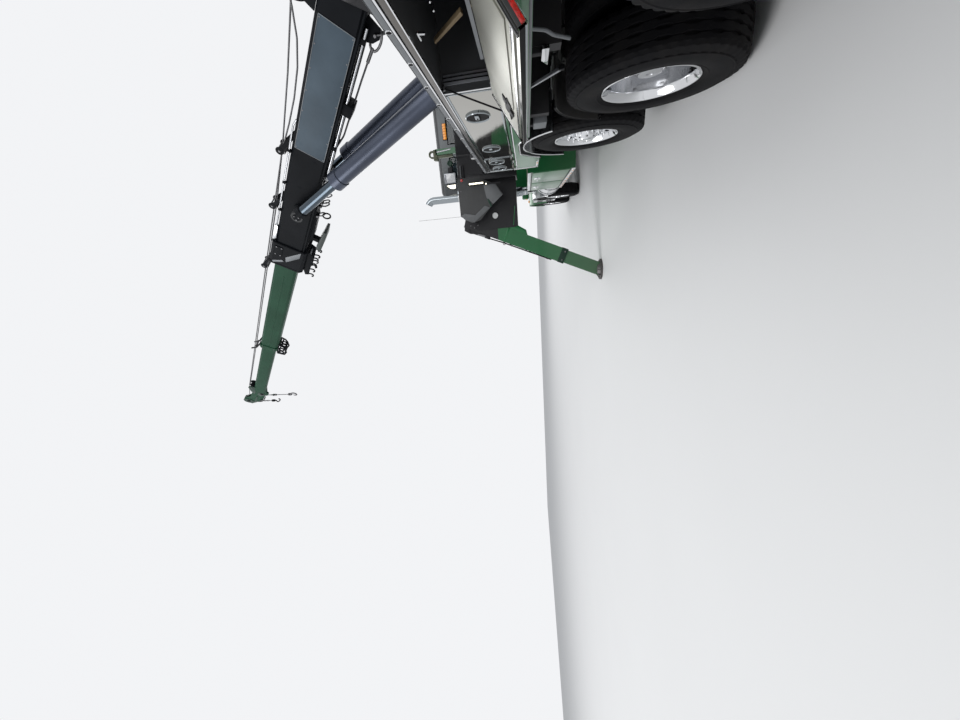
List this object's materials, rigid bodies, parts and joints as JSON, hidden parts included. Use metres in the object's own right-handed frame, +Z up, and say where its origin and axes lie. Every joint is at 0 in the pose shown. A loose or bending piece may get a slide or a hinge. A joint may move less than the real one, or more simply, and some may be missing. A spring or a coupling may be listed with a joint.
{
  "type": "heavy recovery tow truck with rotating telescopic boom",
  "caption": "Long conventional heavy recovery tow truck with a slewing telescopic boom, side outriggers, winches and drop-down tool compartments.",
  "frame": {"origin": "on the ground, under the middle of the whole machine's box", "axes": "+X forward along the truck, +Y to its left, +Z up"},
  "size_m": [14.84, 10.3312, 12.1778],
  "materials": {
    "green_paint": "gloss green paint",
    "black_paint": "gloss black paint",
    "silver_paint": "silver paint",
    "stainless": "polished stainless steel",
    "bright": "chrome plated",
    "polished_aluminium": "polished aluminium",
    "tyre": "black rubber",
    "glass": "tinted glass",
    "trim": "dark grained plastic",
    "hook_steel": "dark forged steel"
  },
  "bodies": {
    "chassis": {"chassis_frame": "black_paint", "front_bumper": "bright", "engine": "silver_paint", "cab": "green_paint", "cab_glass": "glass", "cab_interior": "trim", "side_boxes": "green_paint", "fuel_tanks": "polished_aluminium", "exhaust_stacks": "bright", "quarter_fenders": "bright", "body_left": "green_paint", "body_right": "green_paint", "deck": "black_paint", "outrigger_housing": "black_paint", "tail_housing": "black_paint", "axles": "black_paint"},
    "hood": {"hood": "green_paint", "grille": "bright"},
    "turret": {"turret": "black_paint"},
    "boom_base": {"boom_base": "black_paint", "winches": "black_paint"},
    "boom_middle": {"boom_middle": "green_paint"},
    "boom_tip": {"boom_tip": "green_paint"},
    "hook": {"hoist_hook": "hook_steel"},
    "lift_barrels": {"lift_barrels": "silver_paint"},
    "lift_rods": {"lift_rods": "bright"},
    "underlift": {"underlift": "black_paint"},
    "knuckle_1_left": {"knuckle_1_left": "black_paint"},
    "knuckle_1_right": {"knuckle_1_right": "black_paint"},
    "knuckle_2_left": {"knuckle_2_left": "black_paint"},
    "knuckle_2_right": {"knuckle_2_right": "black_paint"},
    "wheel_steer_1_left": {"wheel_steer_1_left": "tyre"},
    "wheel_steer_1_right": {"wheel_steer_1_right": "tyre"},
    "wheel_steer_2_left": {"wheel_steer_2_left": "tyre"},
    "wheel_steer_2_right": {"wheel_steer_2_right": "tyre"},
    "wheel_lift_left": {"wheel_lift_left": "tyre"},
    "wheel_lift_right": {"wheel_lift_right": "tyre"},
    "wheel_drive_1_left": {"wheel_drive_1_left": "tyre"},
    "wheel_drive_1_right": {"wheel_drive_1_right": "tyre"},
    "wheel_drive_2_left": {"wheel_drive_2_left": "tyre"},
    "wheel_drive_2_right": {"wheel_drive_2_right": "tyre"},
    "cab_door_left": {"cab_door_left": "green_paint"},
    "body_door_1_left": {"body_door_1_left": "stainless"},
    "body_door_2_left": {"body_door_2_left": "stainless"},
    "body_door_3_left": {"body_door_3_left": "stainless"},
    "body_door_4_left": {"body_door_4_left": "stainless"},
    "cab_door_right": {"cab_door_right": "green_paint"},
    "body_door_1_right": {"body_door_1_right": "stainless"},
    "body_door_2_right": {"body_door_2_right": "stainless"},
    "body_door_3_right": {"body_door_3_right": "stainless"},
    "body_door_4_right": {"body_door_4_right": "stainless"},
    "outrigger_arm_left": {"outrigger_arm_left": "black_paint"},
    "outrigger_leg_left": {"outrigger_leg_left": "green_paint"},
    "outrigger_foot_left": {"outrigger_foot_left": "silver_paint"},
    "rear_jack_left": {"rear_jack_left": "black_paint"},
    "outrigger_arm_right": {"outrigger_arm_right": "black_paint"},
    "outrigger_leg_right": {"outrigger_leg_right": "green_paint"},
    "outrigger_foot_right": {"outrigger_foot_right": "silver_paint"},
    "rear_jack_right": {"rear_jack_right": "black_paint"}
  },
  "joints": [
    {"name": "steer_1_left", "type": "hinge", "parent": "chassis", "child": "knuckle_1_left", "pos_m": [6.3, -1.2195, 0.53], "axis": [0, 0, 1], "range_deg": [-35, 35]},
    {"name": "steer_1_right", "type": "hinge", "parent": "chassis", "child": "knuckle_1_right", "pos_m": [6.3, -3.0195, 0.53], "axis": [0, 0, 1], "range_deg": [-35, 35]},
    {"name": "steer_2_left", "type": "hinge", "parent": "chassis", "child": "knuckle_2_left", "pos_m": [4.03, -1.2195, 0.53], "axis": [0, 0, 1], "range_deg": [-21, 21]},
    {"name": "steer_2_right", "type": "hinge", "parent": "chassis", "child": "knuckle_2_right", "pos_m": [4.03, -3.0195, 0.53], "axis": [0, 0, 1], "range_deg": [-21, 21]},
    {"name": "roll_steer_1_left", "type": "hinge", "parent": "knuckle_1_left", "child": "wheel_steer_1_left", "pos_m": [6.3, -0.9845, 0.53], "axis": [0, 1, 0], "continuous": true},
    {"name": "roll_steer_1_right", "type": "hinge", "parent": "knuckle_1_right", "child": "wheel_steer_1_right", "pos_m": [6.3, -3.2545, 0.53], "axis": [0, 1, 0], "continuous": true},
    {"name": "roll_steer_2_left", "type": "hinge", "parent": "knuckle_2_left", "child": "wheel_steer_2_left", "pos_m": [4.03, -0.9845, 0.53], "axis": [0, 1, 0], "continuous": true},
    {"name": "roll_steer_2_right", "type": "hinge", "parent": "knuckle_2_right", "child": "wheel_steer_2_right", "pos_m": [4.03, -3.2545, 0.53], "axis": [0, 1, 0], "continuous": true},
    {"name": "roll_lift_left", "type": "hinge", "parent": "chassis", "child": "wheel_lift_left", "pos_m": [-2.26, -0.9845, 0.75], "axis": [0, 1, 0], "continuous": true},
    {"name": "roll_lift_right", "type": "hinge", "parent": "chassis", "child": "wheel_lift_right", "pos_m": [-2.26, -3.2545, 0.75], "axis": [0, 1, 0], "continuous": true},
    {"name": "roll_drive_1_left", "type": "hinge", "parent": "chassis", "child": "wheel_drive_1_left", "pos_m": [-3.5, -0.9845, 0.53], "axis": [0, 1, 0], "continuous": true},
    {"name": "roll_drive_1_right", "type": "hinge", "parent": "chassis", "child": "wheel_drive_1_right", "pos_m": [-3.5, -3.2545, 0.53], "axis": [0, 1, 0], "continuous": true},
    {"name": "roll_drive_2_left", "type": "hinge", "parent": "chassis", "child": "wheel_drive_2_left", "pos_m": [-4.872, -0.9845, 0.53], "axis": [0, 1, 0], "continuous": true},
    {"name": "roll_drive_2_right", "type": "hinge", "parent": "chassis", "child": "wheel_drive_2_right", "pos_m": [-4.872, -3.2545, 0.53], "axis": [0, 1, 0], "continuous": true},
    {"name": "hood_tilt", "type": "hinge", "parent": "chassis", "child": "hood", "pos_m": [7.25, -2.1195, 1], "axis": [0, 1, 0], "range_deg": [0, 65]},
    {"name": "cab_door_left_hinge", "type": "hinge", "parent": "chassis", "child": "cab_door_left", "pos_m": [5.077, -1.0955, 1.5], "axis": [0, 0, -1], "range_deg": [0, 65]},
    {"name": "body_door_1_left_hinge", "type": "hinge", "parent": "chassis", "child": "body_door_1_left", "pos_m": [-1.515, -0.8255, 1.486], "axis": [-1, 0, 0], "range_deg": [0, 121]},
    {"name": "body_door_2_left_hinge", "type": "hinge", "parent": "chassis", "child": "body_door_2_left", "pos_m": [-2.945, -0.8255, 1.486], "axis": [-1, 0, 0], "range_deg": [0, 121]},
    {"name": "body_door_3_left_hinge", "type": "hinge", "parent": "chassis", "child": "body_door_3_left", "pos_m": [-4.6025, -0.8255, 1.486], "axis": [1, 0, 0], "range_deg": [0, 121]},
    {"name": "body_door_4_left_hinge", "type": "hinge", "parent": "chassis", "child": "body_door_4_left", "pos_m": [-6.0325, -0.8255, 1.486], "axis": [-1, 0, 0], "range_deg": [0, 121]},
    {"name": "cab_door_right_hinge", "type": "hinge", "parent": "chassis", "child": "cab_door_right", "pos_m": [5.077, -3.1435, 1.5], "axis": [0, 0, 1], "range_deg": [0, 65]},
    {"name": "body_door_1_right_hinge", "type": "hinge", "parent": "chassis", "child": "body_door_1_right", "pos_m": [-1.515, -3.4135, 1.486], "axis": [1, 0, 0], "range_deg": [0, 121]},
    {"name": "body_door_2_right_hinge", "type": "hinge", "parent": "chassis", "child": "body_door_2_right", "pos_m": [-2.945, -3.4135, 1.486], "axis": [1, 0, 0], "range_deg": [0, 121]},
    {"name": "body_door_3_right_hinge", "type": "hinge", "parent": "chassis", "child": "body_door_3_right", "pos_m": [-4.6025, -3.4135, 1.486], "axis": [1, 0, 0], "range_deg": [0, 121]},
    {"name": "body_door_4_right_hinge", "type": "hinge", "parent": "chassis", "child": "body_door_4_right", "pos_m": [-6.0325, -3.4135, 1.486], "axis": [1, 0, 0], "range_deg": [0, 121]},
    {"name": "slew", "type": "hinge", "parent": "chassis", "child": "turret", "pos_m": [-0.82, -2.1195, 1.93], "axis": [0, 0, 1], "continuous": true},
    {"name": "luff", "type": "hinge", "parent": "turret", "child": "boom_base", "pos_m": [-1.43978, -2.90428, 3.16], "axis": [0.7848, -0.6198, 0], "range_deg": [-38, 25]},
    {"name": "extend_middle", "type": "slide", "parent": "boom_base", "child": "boom_middle", "axis": [0.4727, 0.5985, 0.6468], "range_m": [-3.5, 0.2]},
    {"name": "extend_tip", "type": "slide", "parent": "boom_middle", "child": "boom_tip", "axis": [0.4727, 0.5985, 0.6468], "range_m": [-3.1, 0.2]},
    {"name": "hook_swing", "type": "hinge", "parent": "boom_tip", "child": "hook", "pos_m": [4.58298, 4.72187, 10.81155], "axis": [0.7848, -0.6198, 0], "range_deg": [-30, 50]},
    {"name": "barrel_tilt", "type": "hinge", "parent": "turret", "child": "lift_barrels", "pos_m": [-0.85099, -2.15874, 2.18], "axis": [0.7848, -0.6198, 0], "range_deg": [-36.6, 24.4]},
    {"name": "rod_out", "type": "slide", "parent": "lift_barrels", "child": "lift_rods", "axis": [0.2844, 0.3601, 0.8885], "range_m": [-0.891, 0.593]},
    {"name": "outrigger_arm_left_slide", "type": "slide", "parent": "chassis", "child": "outrigger_arm_left", "axis": [0, -1, 0], "range_m": [0, 0.4]},
    {"name": "outrigger_leg_left_hinge", "type": "hinge", "parent": "outrigger_arm_left", "child": "outrigger_leg_left", "pos_m": [0.84, -0.2895, 2.33], "axis": [1, 0, 0], "range_deg": [-24, 14]},
    {"name": "outrigger_foot_left_slide", "type": "slide", "parent": "outrigger_leg_left", "child": "outrigger_foot_left", "axis": [0, -0.4067, 0.9135], "range_m": [0, 0.55]},
    {"name": "rear_jack_left_slide", "type": "slide", "parent": "chassis", "child": "rear_jack_left", "axis": [0, 0, -1], "range_m": [0, 0.175]},
    {"name": "outrigger_arm_right_slide", "type": "slide", "parent": "chassis", "child": "outrigger_arm_right", "axis": [0, 1, 0], "range_m": [0, 0.4]},
    {"name": "outrigger_leg_right_hinge", "type": "hinge", "parent": "outrigger_arm_right", "child": "outrigger_leg_right", "pos_m": [0.56, -3.9495, 2.33], "axis": [-1, 0, 0], "range_deg": [-24, 14]},
    {"name": "outrigger_foot_right_slide", "type": "slide", "parent": "outrigger_leg_right", "child": "outrigger_foot_right", "axis": [0, 0.4067, 0.9135], "range_m": [0, 0.55]},
    {"name": "rear_jack_right_slide", "type": "slide", "parent": "chassis", "child": "rear_jack_right", "axis": [0, 0, -1], "range_m": [0, 0.175]},
    {"name": "underlift_fold", "type": "hinge", "parent": "chassis", "child": "underlift", "pos_m": [-7.18, -2.1195, 0.62], "axis": [0, -1, 0], "range_deg": [0, 90]}
  ],
  "couplings": [
    {"joint": "steer_1_right", "follows": "steer_1_left", "ratio": 1},
    {"joint": "steer_2_left", "follows": "steer_1_left", "ratio": 0.6},
    {"joint": "steer_2_right", "follows": "steer_1_left", "ratio": 0.6},
    {"joint": "barrel_tilt", "follows": "luff", "ratio": 0.9371},
    {"joint": "rod_out", "follows": "luff", "m_per_rad": 1.3135}
  ]
}
